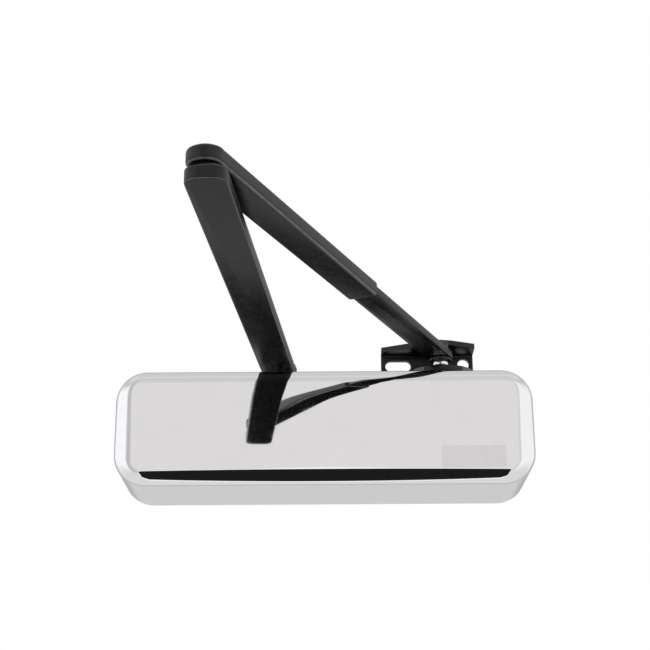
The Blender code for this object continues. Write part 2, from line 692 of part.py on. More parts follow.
def make_main_arm(paint, axis):
    reach_x, reach_y = ELBOW_X - SPINDLE_X, ELBOW_Y - SPINDLE_Y
    length = math.hypot(reach_x, reach_y)
    half = ARM_WIDTH / 2
    neck = math.degrees(math.asin(half / ARM_HUB_RADIUS))
    outline = arc((0, 0), ARM_HUB_RADIUS, neck, 360 - neck, 16)
    end = blunt_end(half, length + 3 * MM, length + ARM_END_REACH, 3)
    outline += reversed(end)
    top = ARM_BOTTOM + ARM_THICKNESS
    angle = math.atan2(reach_y, reach_x)
    arm = outline_solid("main_arm", paint, outline, ARM_BOTTOM, top, location=axis, rotation=(0, 0, angle))
    soften(arm, ARM_EDGE, 2)
    hole_half = SQUARE_HALF + GAP
    hole_low = (-hole_half, -hole_half, ARM_BOTTOM - 2 * MM)
    hole_high = (hole_half, hole_half, top + 2 * MM)
    cut(arm, box("main_arm_square", None, hole_low, hole_high, location=axis))
    elbow = (ELBOW_X, ELBOW_Y, ARM_BOTTOM)
    pin_hole = ELBOW_PIN_RADIUS + RUN
    cut(arm, cylinder_cutter("main_arm_pin_hole", pin_hole, elbow, (0, 0, 0), 20 * MM, 24))


def make_elbow(polished, dark):
    place = dict(location=(ELBOW_X, ELBOW_Y, 0), steps=20)
    head_radius, head_height = ELBOW_HEAD
    head_bottom = SLEEVE_BOTTOM + SLEEVE_HEIGHT + GAP
    levels = [
        (head_radius, head_bottom, head_bottom + head_height),
        (ELBOW_PIN_RADIUS, ARM_BOTTOM + GAP, head_bottom),
    ]
    stack("elbow_pin", dark, levels, **place)
    arm_top = ARM_BOTTOM + ARM_THICKNESS
    inner = ELBOW_PIN_RADIUS + RUN
    washer_radius, washer_height = ELBOW_WASHER
    washer_top = arm_top + GAP + washer_height
    ring_bottom = washer_top + GAP
    washer("elbow_washer", polished, inner, washer_radius, arm_top + GAP, washer_top, **place)
    washer("elbow_bearing_ring", dark, inner, ELBOW_RING_RADIUS, ring_bottom, SLEEVE_BOTTOM - GAP, **place)


def make_forearm(paint, steel):
    reach_x, reach_y = SHOE_X - ELBOW_X, SHOE_Y - ELBOW_Y
    length = math.hypot(reach_x, reach_y)
    place = dict(location=(ELBOW_X, ELBOW_Y, 0), rotation=(0, 0, math.atan2(reach_y, reach_x)))
    half = SLEEVE_WIDTH / 2
    head = blunt_end(half, -2 * MM, SLEEVE_HEAD_REACH - 4 * MM, 2.2)
    outline = [(-x - 4 * MM, y) for x, y in head]
    corner = 1.5 * MM
    outline += arc((SLEEVE_LENGTH - corner, corner - half), corner, -90, 0, 3)
    outline += arc((SLEEVE_LENGTH - corner, half - corner), corner, 0, 90, 3)
    top = SLEEVE_BOTTOM + SLEEVE_HEIGHT
    sleeve = outline_solid("forearm_sleeve", paint, outline, SLEEVE_BOTTOM, top, **place)
    soften(sleeve, ARM_EDGE, 2)
    hollow_half = BAR_WIDTH / 2 + GAP
    bar_top = BAR_BOTTOM + BAR_THICKNESS
    hollow_low = (SLEEVE_HOLLOW_START, -hollow_half, BAR_BOTTOM - GAP)
    hollow_high = (SLEEVE_LENGTH + 5 * MM, hollow_half, bar_top + GAP)
    cut(sleeve, box("sleeve_hollow", None, hollow_low, hollow_high, **place))
    elbow = (ELBOW_X, ELBOW_Y, top)
    pin_hole = ELBOW_PIN_RADIUS + RUN
    cut(sleeve, cylinder_cutter("sleeve_pin_hole", pin_hole, elbow, (0, 0, 0), 30 * MM, 24))
    along = (SLEEVE_LENGTH - LOCK_SCREW_FROM_END) / length
    lock = (ELBOW_X + along * reach_x, ELBOW_Y + along * reach_y, 0)
    lock_place = dict(location=lock, steps=SMALL_STEPS)
    cut(sleeve, disc("lock_hole", None, LOCK_SCREW_RADIUS + RUN, bar_top, top + 3 * MM, **lock_place))
    head_radius, head_height = LOCK_SCREW_HEAD
    head_bottom = top + GAP
    levels = [
        (head_radius, head_bottom, head_bottom + head_height),
        (LOCK_SCREW_RADIUS, bar_top + GAP, head_bottom),
    ]
    screw = stack("length_lock_screw", steel, levels, **lock_place)
    hex_socket(screw, LOCK_SCREW_RADIUS, head_bottom + 0.4 * head_height, head_bottom + 2 * head_height)
    make_bar(paint, length, place)


def make_bar(paint, length, place):
    half = BAR_WIDTH / 2
    outline = [(BAR_INNER_END, half), (BAR_INNER_END, -half)] + arc((length, 0), half, -90, 90, 12)
    bar_top = BAR_BOTTOM + BAR_THICKNESS
    bar = outline_solid("forearm_bar", paint, outline, BAR_BOTTOM, bar_top, **place)
    soften(bar, ARM_EDGE / 2, 1)
    pin_hole = PIVOT_SHANK_RADIUS + RUN
    cut(bar, cylinder_cutter("bar_pin_hole", pin_hole, (SHOE_X, SHOE_Y, bar_top), (0, 0, 0), 20 * MM, 24))


def make_bracket(paint):
    """The frame bracket: a back plate with a tongue below and a stiffening flange above."""
    pivot = (SHOE_X, SHOE_Y, 0)
    top = FLANGE_BOTTOM + BRACKET_SHEET
    low = (BRACKET_X[0] - SHOE_X, -BRACKET_PLATE - SHOE_Y, TONGUE_BOTTOM)
    high = (BRACKET_X[1] - SHOE_X, -SHOE_Y, top)
    bracket = box("shoe_bracket", paint, low, high, location=pivot)
    root_y = -SHOE_Y - BRACKET_PLATE / 2
    tongue_centre = (BRACKET_X[1] - SHOE_X - TONGUE_RADIUS, TONGUE_CENTRE_Y - SHOE_Y)
    tongue = arc(tongue_centre, TONGUE_RADIUS, 180, 360, 18)
    tongue += [(tongue_centre[0] + TONGUE_RADIUS, root_y), (tongue_centre[0] - TONGUE_RADIUS, root_y)]
    tongue_top = TONGUE_BOTTOM + BRACKET_SHEET
    join(bracket, outline_solid("bracket_tongue", None, tongue, TONGUE_BOTTOM, tongue_top, location=pivot))
    flange = [(x * MM - SHOE_X, y * MM - SHOE_Y) for x, y in FLANGE_EDGE_MM]
    flange += [(BRACKET_X[1] - SHOE_X, root_y), (BRACKET_X[0] - SHOE_X, root_y)]
    join(bracket, outline_solid("bracket_flange", None, flange, FLANGE_BOTTOM, top, location=pivot))
    slot = outline_solid("bracket_slot", None, stadium(SLOT_LENGTH, SLOT_WIDTH), -10 * MM, 10 * MM)
    slot.location = (SLOT_CENTRE[0], 0, SLOT_CENTRE[1])
    slot.rotation_euler = FACING_FRONT
    cut(bracket, slot)
    hole_place = (ROUND_HOLE[0], 0, ROUND_HOLE[1])
    cut(bracket, cylinder_cutter("bracket_hole", ROUND_HOLE_RADIUS, hole_place, FACING_FRONT, 20 * MM, 24))
    pin_place = (SHOE_X, SHOE_Y, TONGUE_BOTTOM)
    shank_hole = PIVOT_SHANK_RADIUS + RUN
    cut(bracket, cylinder_cutter("bracket_pin_hole", shank_hole, pin_place, (0, 0, 0), 12 * MM, 24))


def make_pivot(polished, dark):
    place = dict(location=(SHOE_X, SHOE_Y, 0), steps=20)
    tongue_top = TONGUE_BOTTOM + BRACKET_SHEET
    bar_top = BAR_BOTTOM + BAR_THICKNESS
    shoulder = (tongue_top + GAP, BAR_BOTTOM - GAP)
    rivet_radius, rivet_height = PIVOT_RIVET
    collar_radius, collar_height = PIVOT_COLLAR
    nut_radius, nut_height = PIVOT_NUT
    levels = [
        (PIVOT_SHANK_RADIUS, shoulder[1], bar_top + nut_height - GAP),
        (PIVOT_SHOULDER_RADIUS, shoulder[0], shoulder[1]),
        (PIVOT_SHANK_RADIUS, TONGUE_BOTTOM - GAP, shoulder[0]),
        (rivet_radius, TONGUE_BOTTOM - GAP - rivet_height, TONGUE_BOTTOM - GAP),
    ]
    stack("shoe_pivot_pin", polished, levels, **place)
    collar_inner = PIVOT_SHOULDER_RADIUS + GAP
    collar_bottom = shoulder[1] - collar_height
    washer("shoe_collar", dark, collar_inner, collar_radius, collar_bottom, shoulder[1], **place)
    nut_inner = PIVOT_SHANK_RADIUS + GAP
    nut_bottom = bar_top + GAP
    washer("shoe_pivot_nut", dark, nut_inner, nut_radius, nut_bottom, nut_bottom + nut_height, **place)


def main():
    clear_scene()
    chrome = make_material("chrome_cover", (0.83, 0.83, 0.84), 0.06, 1.0)
    badge_finish = make_material("badge_grey", (0.62, 0.62, 0.63), 0.3, 0.9)
    paint = make_material("black_paint", (0.05, 0.05, 0.052), 0.45, 0.0)
    dark = make_material("black_steel", (0.03, 0.03, 0.03), 0.4, 0.6)
    aluminium = make_material("cast_aluminium", (0.55, 0.56, 0.57), 0.5, 0.9)
    steel = make_material("zinc_steel", (0.55, 0.55, 0.56), 0.35, 1.0)
    polished = make_material("polished_steel", (0.8, 0.8, 0.8), 0.1, 1.0)
    brass = make_material("brass", (0.72, 0.55, 0.28), 0.3, 1.0)
    rubber = make_material("black_rubber", (0.02, 0.02, 0.02), 0.8, 0.0)
    make_mounting_plate(steel)
    make_casting(aluminium)
    make_foot_screws(steel)
    make_end_caps(steel, rubber)
    make_spindle_bearings(steel, rubber)
    make_spring(steel)
    make_piston(steel, rubber, brass)
    make_adjusters(steel, brass, rubber)
    make_cover(chrome, badge_finish)
    make_cover_clips(steel)
    make_spindle(steel, paint)
    make_elbow(polished, dark)
    make_forearm(paint, steel)
    make_bracket(paint)
    make_pivot(polished, dark)


main()
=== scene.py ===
"""Studio picture of a surface door closer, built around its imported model."""

import json
import math

import bmesh
import bpy
from mathutils import Matrix, Vector


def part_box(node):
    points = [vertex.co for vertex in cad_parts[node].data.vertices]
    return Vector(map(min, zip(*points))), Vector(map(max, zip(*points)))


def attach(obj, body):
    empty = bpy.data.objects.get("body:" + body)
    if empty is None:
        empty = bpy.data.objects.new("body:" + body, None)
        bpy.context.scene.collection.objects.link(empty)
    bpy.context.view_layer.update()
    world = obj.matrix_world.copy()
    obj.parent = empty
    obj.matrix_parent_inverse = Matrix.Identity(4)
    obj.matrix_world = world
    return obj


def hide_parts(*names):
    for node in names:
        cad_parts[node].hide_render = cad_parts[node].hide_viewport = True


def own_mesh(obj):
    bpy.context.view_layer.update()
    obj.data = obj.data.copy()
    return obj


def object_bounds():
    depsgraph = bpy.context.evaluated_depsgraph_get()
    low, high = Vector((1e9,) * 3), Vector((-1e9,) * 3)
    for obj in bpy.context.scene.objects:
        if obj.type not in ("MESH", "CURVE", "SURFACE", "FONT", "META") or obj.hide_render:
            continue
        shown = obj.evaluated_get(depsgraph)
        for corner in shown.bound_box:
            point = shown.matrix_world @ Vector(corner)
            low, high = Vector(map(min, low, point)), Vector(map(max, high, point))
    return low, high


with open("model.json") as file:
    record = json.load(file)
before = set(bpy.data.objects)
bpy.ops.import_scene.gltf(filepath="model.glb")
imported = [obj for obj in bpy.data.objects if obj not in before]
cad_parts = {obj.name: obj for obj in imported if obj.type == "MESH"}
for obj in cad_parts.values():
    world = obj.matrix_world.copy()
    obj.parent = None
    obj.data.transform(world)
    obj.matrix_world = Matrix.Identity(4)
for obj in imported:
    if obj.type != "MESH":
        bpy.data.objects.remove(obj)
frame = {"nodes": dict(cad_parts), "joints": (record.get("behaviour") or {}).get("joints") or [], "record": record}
CAD_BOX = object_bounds()
MM = 0.001

# ---------------------------------------------------------------- materials


def noise(nodes, links, source, scale, detail=3.0, stretch=None):
    """A noise texture in metres of the object's own space, with an optional stretch."""
    texture = nodes.new("ShaderNodeTexNoise")
    texture.inputs["Scale"].default_value = scale
    texture.inputs["Detail"].default_value = detail
    if stretch is None:
        links.new(source, texture.inputs["Vector"])
        return texture.outputs["Fac"]
    mapping = nodes.new("ShaderNodeMapping")
    mapping.inputs["Scale"].default_value = stretch
    links.new(source, mapping.inputs["Vector"])
    links.new(mapping.outputs["Vector"], texture.inputs["Vector"])
    return texture.outputs["Fac"]


def remap(nodes, links, source, low, high, start=0.35, end=0.65):
    """Spread the noise between start and end over the values low to high."""
    span = nodes.new("ShaderNodeMapRange")
    span.inputs["From Min"].default_value = start
    span.inputs["From Max"].default_value = end
    span.inputs["To Min"].default_value = low
    span.inputs["To Max"].default_value = high
    links.new(source, span.inputs["Value"])
    return span.outputs["Result"]


def finish_material(name, base, other, metallic, rough, grain, depth, stretch=None, edge_highlight_colour=None, edge_highlight_strength=0.0):
    """A surface with two close tones, uneven roughness, a fine grain bump and a painted highlight on its rounded
    edges.
    """
    material = bpy.data.materials.new(name)
    material.use_nodes = True
    nodes, links = material.node_tree.nodes, material.node_tree.links
    shader = nodes["Principled BSDF"]
    shader.inputs["Metallic"].default_value = metallic
    place = nodes.new("ShaderNodeTexCoord").outputs["Object"]
    broad = noise(nodes, links, place, grain / 12, 4.0)
    fine = noise(nodes, links, place, grain, 4.0, stretch)
    tone = nodes.new("ShaderNodeMix")
    tone.data_type = "RGBA"
    tone.inputs["A"].default_value = (*base, 1)
    tone.inputs["B"].default_value = (*other, 1)
    links.new(remap(nodes, links, broad, 0.0, 1.0), tone.inputs["Factor"])
    colour = tone.outputs["Result"]
    # painted highlight: the marked rounded edges are lightened towards a paler colour, as if they caught the light
    if edge_highlight_colour is not None:
        rounded = nodes.new("ShaderNodeAttribute")
        rounded.attribute_name = "rounded_edge"
        edge = nodes.new("ShaderNodeMath")
        edge.operation = "MULTIPLY"
        links.new(rounded.outputs["Fac"], edge.inputs[0])
        links.new(remap(nodes, links, broad, 0.6 * edge_highlight_strength, edge_highlight_strength), edge.inputs[1])
        highlighted_edge = nodes.new("ShaderNodeMix")
        highlighted_edge.data_type = "RGBA"
        highlighted_edge.inputs["B"].default_value = (*edge_highlight_colour, 1)
        links.new(edge.outputs[0], highlighted_edge.inputs["Factor"])
        links.new(colour, highlighted_edge.inputs["A"])
        colour = highlighted_edge.outputs["Result"]
    links.new(colour, shader.inputs["Base Color"])
    links.new(remap(nodes, links, broad, rough[0], rough[1]), shader.inputs["Roughness"])
    bump = nodes.new("ShaderNodeBump")
    bump.inputs["Strength"].default_value = 1.0
    bump.inputs["Distance"].default_value = depth
    links.new(fine, bump.inputs["Height"])
    links.new(bump.outputs["Normal"], shader.inputs["Normal"])
    return material


def make_materials():
    brushed = (0.02, 1.0, 1.0)
    # the last two values of a material, where given, are the colour and strength of its painted edge highlight
    return {
        "chrome_cover": finish_material(
            "chrome_cover", (0.93, 0.925, 0.925), (0.91, 0.905, 0.91), 1.0, (0.018, 0.035), 900, 0.0000004
        ),
        "badge_metal": finish_material(
            "badge_metal", (0.845, 0.84, 0.845), (0.83, 0.825, 0.83), 1.0, (0.10, 0.13),
            2600, 0.0000004, brushed,
        ),
        "black_paint": finish_material(
            "black_paint", (0.0045, 0.0045, 0.005), (0.007, 0.007, 0.0075), 0.0, (0.26, 0.31),
            2200, 0.0000015, None, (0.16, 0.16, 0.165), 0.8,
        ),
        "black_steel": finish_material(
            "black_steel", (0.018, 0.018, 0.018), (0.028, 0.027, 0.026), 0.2, (0.30, 0.42), 1800, 0.00002,
            None, (0.10, 0.10, 0.10), 0.6,
        ),
        "cast_aluminium": finish_material(
            "cast_aluminium", (0.56, 0.57, 0.58), (0.52, 0.53, 0.54), 0.9, (0.46, 0.54), 1600, 0.00006,
            None, (0.78, 0.78, 0.79), 0.7,
        ),
        "zinc_steel": finish_material(
            "zinc_steel", (0.60, 0.60, 0.61), (0.57, 0.575, 0.59), 1.0, (0.28, 0.33), 1900, 0.000005,
            None, (0.80, 0.80, 0.80), 0.5,
        ),
        "polished_steel": finish_material(
            "polished_steel", (0.86, 0.86, 0.86), (0.80, 0.80, 0.81), 1.0, (0.05, 0.12),
            2400, 0.000002, brushed,
        ),
        "brass": finish_material(
            "brass", (0.78, 0.58, 0.27), (0.66, 0.47, 0.21), 1.0, (0.20, 0.34), 2000, 0.000006,
            None, (0.90, 0.74, 0.42), 0.5,
        ),
        "black_rubber": finish_material(
            "black_rubber", (0.020, 0.020, 0.020), (0.032, 0.031, 0.030), 0.0, (0.62, 0.8), 1400, 0.00003
        ),
    }


MATERIALS = make_materials()
PAINT_SHADER = MATERIALS["black_paint"].node_tree.nodes["Principled BSDF"]
PAINT_SHADER.inputs["Specular IOR Level"].default_value = 0.36
SLOT_OF = {part["node"]: part["material_slot"] for part in frame["record"]["subparts"]}
BODY_OF = {}
for body_name, members in frame["record"]["behaviour"]["bodies"].items():
    for member in members:
        BODY_OF[member] = body_name


def paint_cad_nodes():
    """Every CAD node takes its slot's material; round ones are shaded smooth."""
    for name, piece in frame["nodes"].items():
        piece.data.materials.clear()
        piece.data.materials.append(MATERIALS[SLOT_OF[name]])
        piece.data.shade_smooth()
        piece.data.set_sharp_from_angle(angle=math.radians(32))


# ---------------------------------------------------------------- mesh helpers


def add_piece(name, form_or_mesh, slot_name):
    """An object in the scene from a mesh or a bmesh, with its slot's material."""
    mesh = form_or_mesh
    if isinstance(form_or_mesh, bmesh.types.BMesh):
        mesh = bpy.data.meshes.new(name)
        form_or_mesh.to_mesh(mesh)
        form_or_mesh.free()
    piece = bpy.data.objects.new(name, mesh)
    bpy.context.scene.collection.objects.link(piece)
    if slot_name is not None:
        mesh.materials.append(MATERIALS[slot_name])
    return piece


def bake(piece):
    """Apply all modifiers, as the piece stands."""
    bpy.context.view_layer.update()
    graph = bpy.context.evaluated_depsgraph_get()
    mesh = bpy.data.meshes.new_from_object(piece.evaluated_get(graph))
    piece.modifiers.clear()
    piece.data = mesh
    return piece


def cut(piece, tool, operation="DIFFERENCE"):
    """A boolean with a tool, which is used up."""
    modifier = piece.modifiers.new("cut", "BOOLEAN")
    modifier.operation = operation
    modifier.object = tool
    bake(piece)
    bpy.data.objects.remove(tool, do_unlink=True)


def soften(piece, width, segments=3, angle=35):
    """Round the edges sharper than an angle."""
    modifier = piece.modifiers.new("soften", "BEVEL")
    modifier.width = width
    modifier.segments = segments
    modifier.limit_method = "ANGLE"
    modifier.angle_limit = math.radians(angle)
    modifier.use_clamp_overlap = True
    bake(piece)


def smooth(piece, angle=32):
    piece.data.shade_smooth()
    piece.data.set_sharp_from_angle(angle=math.radians(angle))


EDGE_LEAN = (0.55, 0.80)


def mark_edges(piece, axis):
    """Mark the faces that lean away from both the axis and its cross plane: the rounded edges, which take the
    painted edge highlight.
    """
    least, most = EDGE_LEAN
    marks = piece.data.attributes.new("rounded_edge", "FLOAT", "FACE")
    for face, mark in zip(piece.data.polygons, marks.data):
        mark.value = 1.0 if least < abs(face.normal[axis]) < most else 0.0


def stand_for(piece, *nodes, edge_axis=2):
    """The piece takes the place and the body of CAD nodes."""
    mark_edges(piece, edge_axis)
    smooth(piece)
    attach(piece, BODY_OF[nodes[0]])
    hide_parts(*nodes)


def prism(name, outline, bottom, top, slot_name=None, matrix=None):
    """A flat outline extruded between two heights, then turned into place."""
    form = bmesh.new()
    low = [form.verts.new((x, y, bottom)) for x, y in outline]
    high = [form.verts.new((x, y, top)) for x, y in outline]
    form.faces.new(list(reversed(low)))
    form.faces.new(high)
    for number in range(len(low)):
        after = (number + 1) % len(low)
        form.faces.new((low[number], low[after], high[after], high[number]))
    bmesh.ops.recalc_face_normals(form, faces=form.faces)
    if matrix is not None:
        form.transform(matrix)
    return add_piece(name, form, slot_name)


def turned(name, profile, slot_name, centre, steps=64):
    """Turn a closed profile of (radius, height) about Z through `centre`."""
    form = bmesh.new()
    rings = []
    for radius, height in profile:
        if radius < 1e-7:
            rings.append([form.verts.new((0, 0, height))])
            continue
        ring = []
        for step in range(steps):
            angle = 2 * math.pi * step / steps
            ring.append(form.verts.new((radius * math.cos(angle), radius * math.sin(angle), height)))
        rings.append(ring)
    hollow = min(radius for radius, _ in profile) > 1e-7
    pairs = list(zip(rings, rings[1:]))
    if hollow:
        pairs.append((rings[-1], rings[0]))
    for first, second in pairs:
        for step in range(steps):
            after = (step + 1) % steps
            corners = [first[step % len(first)], first[after % len(first)]]
            corners += [second[after % len(second)], second[step % len(second)]]
            unique = list(dict.fromkeys(corners))
            if len(unique) > 2:
                form.faces.new(unique)
    bmesh.ops.recalc_face_normals(form, faces=form.faces)
    form.transform(Matrix.Translation(centre))
    return add_piece(name, form, slot_name)


def arc(centre, radius, start, end, steps):
    """Points on a circle between two angles in degrees."""
    points = []
    for step in range(steps + 1):
        angle = math.radians(start + (end - start) * step / steps)
        points.append((centre[0] + radius * math.cos(angle), centre[1] + radius * math.sin(angle)))
    return points


def rounded_profile(points, radius, steps=4):
    """Round the convex and concave corners of an open profile of (radius, height)."""
    result = [points[0]]
    for before, corner, after in zip(points, points[1:], points[2:]):
        corner, before, after = Vector(corner), Vector(before), Vector(after)
        into = (before - corner).normalized()
        out = (after - corner).normalized()
        reach = min(radius, (before - corner).length * 0.45, (after - corner).length * 0.45)
        start, end = corner + into * reach, corner + out * reach
        for step in range(steps + 1):
            share = step / steps
            first, last = start.lerp(corner, share), corner.lerp(end, share)
            result.append(tuple(first.lerp(last, share)))
    result.append(points[-1])
    return result


def centre_of(node):
    low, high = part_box(node)
    return (low + high) / 2


# ---------------------------------------------------------------- cover

COVER_LOW, COVER_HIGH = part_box("cover_shell")
COVER_HALF_X = COVER_HIGH.x
COVER_HALF_Z = COVER_HIGH.z
COVER_FRONT = COVER_LOW.y
COVER_BACK = COVER_HIGH.y
OUTER_RADIUS = 17.7 * MM
FACE_INSET_X = 9.6 * MM
FACE_INSET_Z = 7.4 * MM
FACE_RADIUS = 6.0 * MM
EDGE_DEPTH = 9.4 * MM
LEAN = 1.85 * MM
TOP_ROUND = 0.30 * MM
TOP_ROUND_START = 13 * MM
WALL = 1.5 * MM
FACE_HALF_X = COVER_HALF_X - FACE_INSET_X
FACE_HALF_Z = COVER_HALF_Z - FACE_INSET_Z


def face_fall(z):
    """How far the face falls back at a height: it leans, and rounds off a little towards the top."""
    lean = LEAN * (FACE_HALF_Z - z) / (2 * FACE_HALF_Z)
    rise = max(0.0, (z - TOP_ROUND_START) / (FACE_HALF_Z - TOP_ROUND_START))
    return lean + TOP_ROUND * rise ** 3


def outward_slope(z):
    """The face's slope towards its nearer long edge."""
    step = 0.01 * MM
    slope = (face_fall(z + step) - face_fall(z - step)) / (2 * step)
    return slope if z > 0 else -slope


def rounded_loop(half_x, half_z, radius, corner=14, across=56, up=16):
    """Points (x, z) round a rounded rectangle, with the same count whatever its size."""
    flat_x, flat_z = half_x - radius, half_z - radius
    loop = []
    for step in range(up):
        loop.append((half_x, -flat_z + 2 * flat_z * step / up))
    loop += arc((flat_x, flat_z), radius, 0, 90, corner)[:-1]
    for step in range(across):
        loop.append((flat_x - 2 * flat_x * step / across, half_z))
    loop += arc((-flat_x, flat_z), radius, 90, 180, corner)[:-1]
    for step in range(up):
        loop.append((-half_x, flat_z - 2 * flat_z * step / up))
    loop += arc((-flat_x, -flat_z), radius, 180, 270, corner)[:-1]
    for step in range(across):
        loop.append((-flat_x + 2 * flat_x * step / across, -half_z))
    loop += arc((flat_x, -flat_z), radius, 270, 360, corner)[:-1]
    return loop


def cover_rings():
    """Rings of (x, y, z) from the back rim, over the rounded edge, to the leaning face's middle."""
    outer = rounded_loop(COVER_HALF_X, COVER_HALF_Z, OUTER_RADIUS)
    inner = rounded_loop(FACE_HALF_X, FACE_HALF_Z, FACE_RADIUS)
    side_end = COVER_FRONT + EDGE_DEPTH
    rings = []
    for share in (0.0, 0.02, 0.3, 0.65, 0.98):
        y = COVER_BACK + (side_end - COVER_BACK) * share
        rings.append([(x, y, z) for x, z in outer])
    steps = 18
    for step in range(steps + 1):
        ring = []
        for (x0, z0), (x1, z1) in zip(outer, inner):
            start = math.atan(outward_slope(z1)) * min(1.0, abs(z0 - z1) / FACE_INSET_Z)
            angle = math.pi / 2 + (start - math.pi / 2) * step / steps
            out = (math.sin(angle) - math.sin(start)) / (1 - math.sin(start))
            back = 1 - math.cos(angle) / math.cos(start)
            face_y = COVER_FRONT + face_fall(z1)
            y = face_y + (side_end - face_y) * back
            ring.append((x1 + (x0 - x1) * out, y, z1 + (z0 - z1) * out))
        rings.append(ring)
    shrinks = 16
    for step in range(1, shrinks):
        share = 1 - step / shrinks
        spine = FACE_HALF_X - FACE_HALF_Z
        ring = []
        for x, z in inner:
            middle = max(-spine, min(spine, x))
            px, pz = middle + (x - middle) * share, z * share
            ring.append((px, COVER_FRONT + face_fall(pz), pz))
        rings.append(ring)
    return rings


def make_cover():
    """The chromed box: rings joined into a skin, given its wall, then notched for the spindle."""
    form = bmesh.new()
    rings = [[form.verts.new(point) for point in ring] for ring in cover_rings()]
    count = len(rings[0])
    for first, second in zip(rings, rings[1:]):
        for number in range(count):
            after = (number + 1) % count
            form.faces.new((first[number], second[number], second[after], first[after]))
    last = rings[-1]
    spine_faces = bmesh.ops.contextual_create(form, geom=last)
    bmesh.ops.triangulate(form, faces=spine_faces["faces"])
    bmesh.ops.recalc_face_normals(form, faces=form.faces)
    cover = add_piece("cover_polished", form, "chrome_cover")
    wall = cover.modifiers.new("wall", "SOLIDIFY")
    wall.thickness = WALL
    wall.offset = -1
    bake(cover)
    spindle = centre_of("upper_bearing")
    front = -29 * MM
    notch = [(10 * MM, 5 * MM), (-10 * MM, 5 * MM)] + arc((0, front), 10 * MM, 180, 360, 24)
    notch = [(x + spindle.x, y) for x, y in notch]
    cut(cover, prism("notch", notch, COVER_HALF_Z - 6 * MM, COVER_HALF_Z + 6 * MM))
    stand_for(cover, "cover_shell")
    make_badge()


def make_badge():
    """A blank label that follows the leaning face."""
    low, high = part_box("cover_badge")
    middle = (low + high) / 2
    half_x, half_z = (high.x - low.x) / 2, (high.z - low.z) / 2
    proud = 0.04 * MM
    form = bmesh.new()
    sunk = proud - 0.02 * MM
    rings = [(0.0, -0.04 * MM), (0.0, proud), (0.3 * MM, proud)]
    rings += [(0.7 * MM, sunk), (2 * MM, sunk), (4 * MM, sunk)]
    made = []
    for inset, lift in rings:
        radius = max(1.2 * MM - inset, 0.3 * MM)
        ring = []
        for x, z in rounded_loop(half_x - inset, half_z - inset, radius, 6, 24, 8):
            z += middle.z
            ring.append(form.verts.new((x + middle.x, COVER_FRONT + face_fall(z) - lift, z)))
        made.append(ring)
    for first, second in zip(made, made[1:]):
        for number in range(len(first)):
            after = (number + 1) % len(first)
            form.faces.new((first[number], second[number], second[after], first[after]))
    form.faces.new(made[-1])
    form.faces.new(list(reversed(made[0])))
    bmesh.ops.recalc_face_normals(form, faces=form.faces)
    badge = add_piece("badge_blank", form, "badge_metal")
    stand_for(badge, "cover_badge")


# ---------------------------------------------------------------- arms

JOINTS = {joint["name"]: joint for joint in frame["joints"]}
SPINDLE = Vector(JOINTS["spindle_turn"]["pos_m"])
ELBOW = Vector(JOINTS["elbow_turn"]["pos_m"])
PIVOT = Vector(JOINTS["shoe_turn"]["pos_m"])


ARM_HALF = 9.05 * MM
ARM_HUB = 9.6 * MM
ARM_PAST_ELBOW = 11.4 * MM
ELBOW_HOLE = 4.2 * MM
SLEEVE_HALF = 8.15 * MM
SLEEVE_LENGTH = 161 * MM
SLEEVE_HOLLOW = (18 * MM, 7.1 * MM)
BAR_HALF = 6.9 * MM
BAR_START = 62 * MM
BAR_HOLE = 3.2 * MM


def blunt_end(half_width, straight, reach, exponent, steps=16):
    """An end flatter than a semicircle, from +Y round to -Y, past `straight` along +X."""
    points = []
    for step in range(2 * steps + 1):
        angle = math.pi / 2 - math.pi * step / (2 * steps)
        y = half_width * math.copysign(abs(math.sin(angle)) ** (2 / exponent), math.sin(angle))
        x = (reach - straight) * max(math.cos(angle), 0.0) ** (2 / exponent)
        points.append((straight + x, y))
    return points


def along(start, end):
    """The matrix that puts local X along the line from start to end."""
    reach = end - start
    turn = Matrix.Rotation(math.atan2(reach.y, reach.x), 4, "Z")
    return Matrix.Translation((start.x, start.y, 0)) @ turn


def level(node):
    """The heights of a CAD node's bottom and top."""
    low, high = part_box(node)
    return low.z, high.z


def on_floor(axis):
    """Where a vertical axis meets the height zero."""
    return axis.x, axis.y, 0


def make_main_arm():
    """A flat bar with a hub at the spindle and a blunt end past the elbow."""
    bottom, top = level("main_arm")
    length = (ELBOW - SPINDLE).length
    neck = math.degrees(math.asin(ARM_HALF / ARM_HUB))
    outline = arc((0, 0), ARM_HUB, neck, 360 - neck, 40)
    outline += list(reversed(blunt_end(ARM_HALF, length + 3 * MM, length + ARM_PAST_ELBOW, 3)))
    arm = prism("main_arm_painted", outline, bottom, top, "black_paint", along(SPINDLE, ELBOW))
    soften(arm, 0.6 * MM, 3, 40)
    square = 5.0 * MM
    hole = [(square, square), (-square, square), (-square, -square), (square, -square)]
    cut(arm, prism("square", hole, bottom - MM, top + MM, None, along(SPINDLE, ELBOW)))
    lift = Matrix.Translation(on_floor(ELBOW))
    hole = arc((0, 0), ELBOW_HOLE, 0, 350, 35)
    cut(arm, prism("pin_hole", hole, bottom + 0.5 * MM, top + MM, None, lift))
    stand_for(arm, "main_arm")


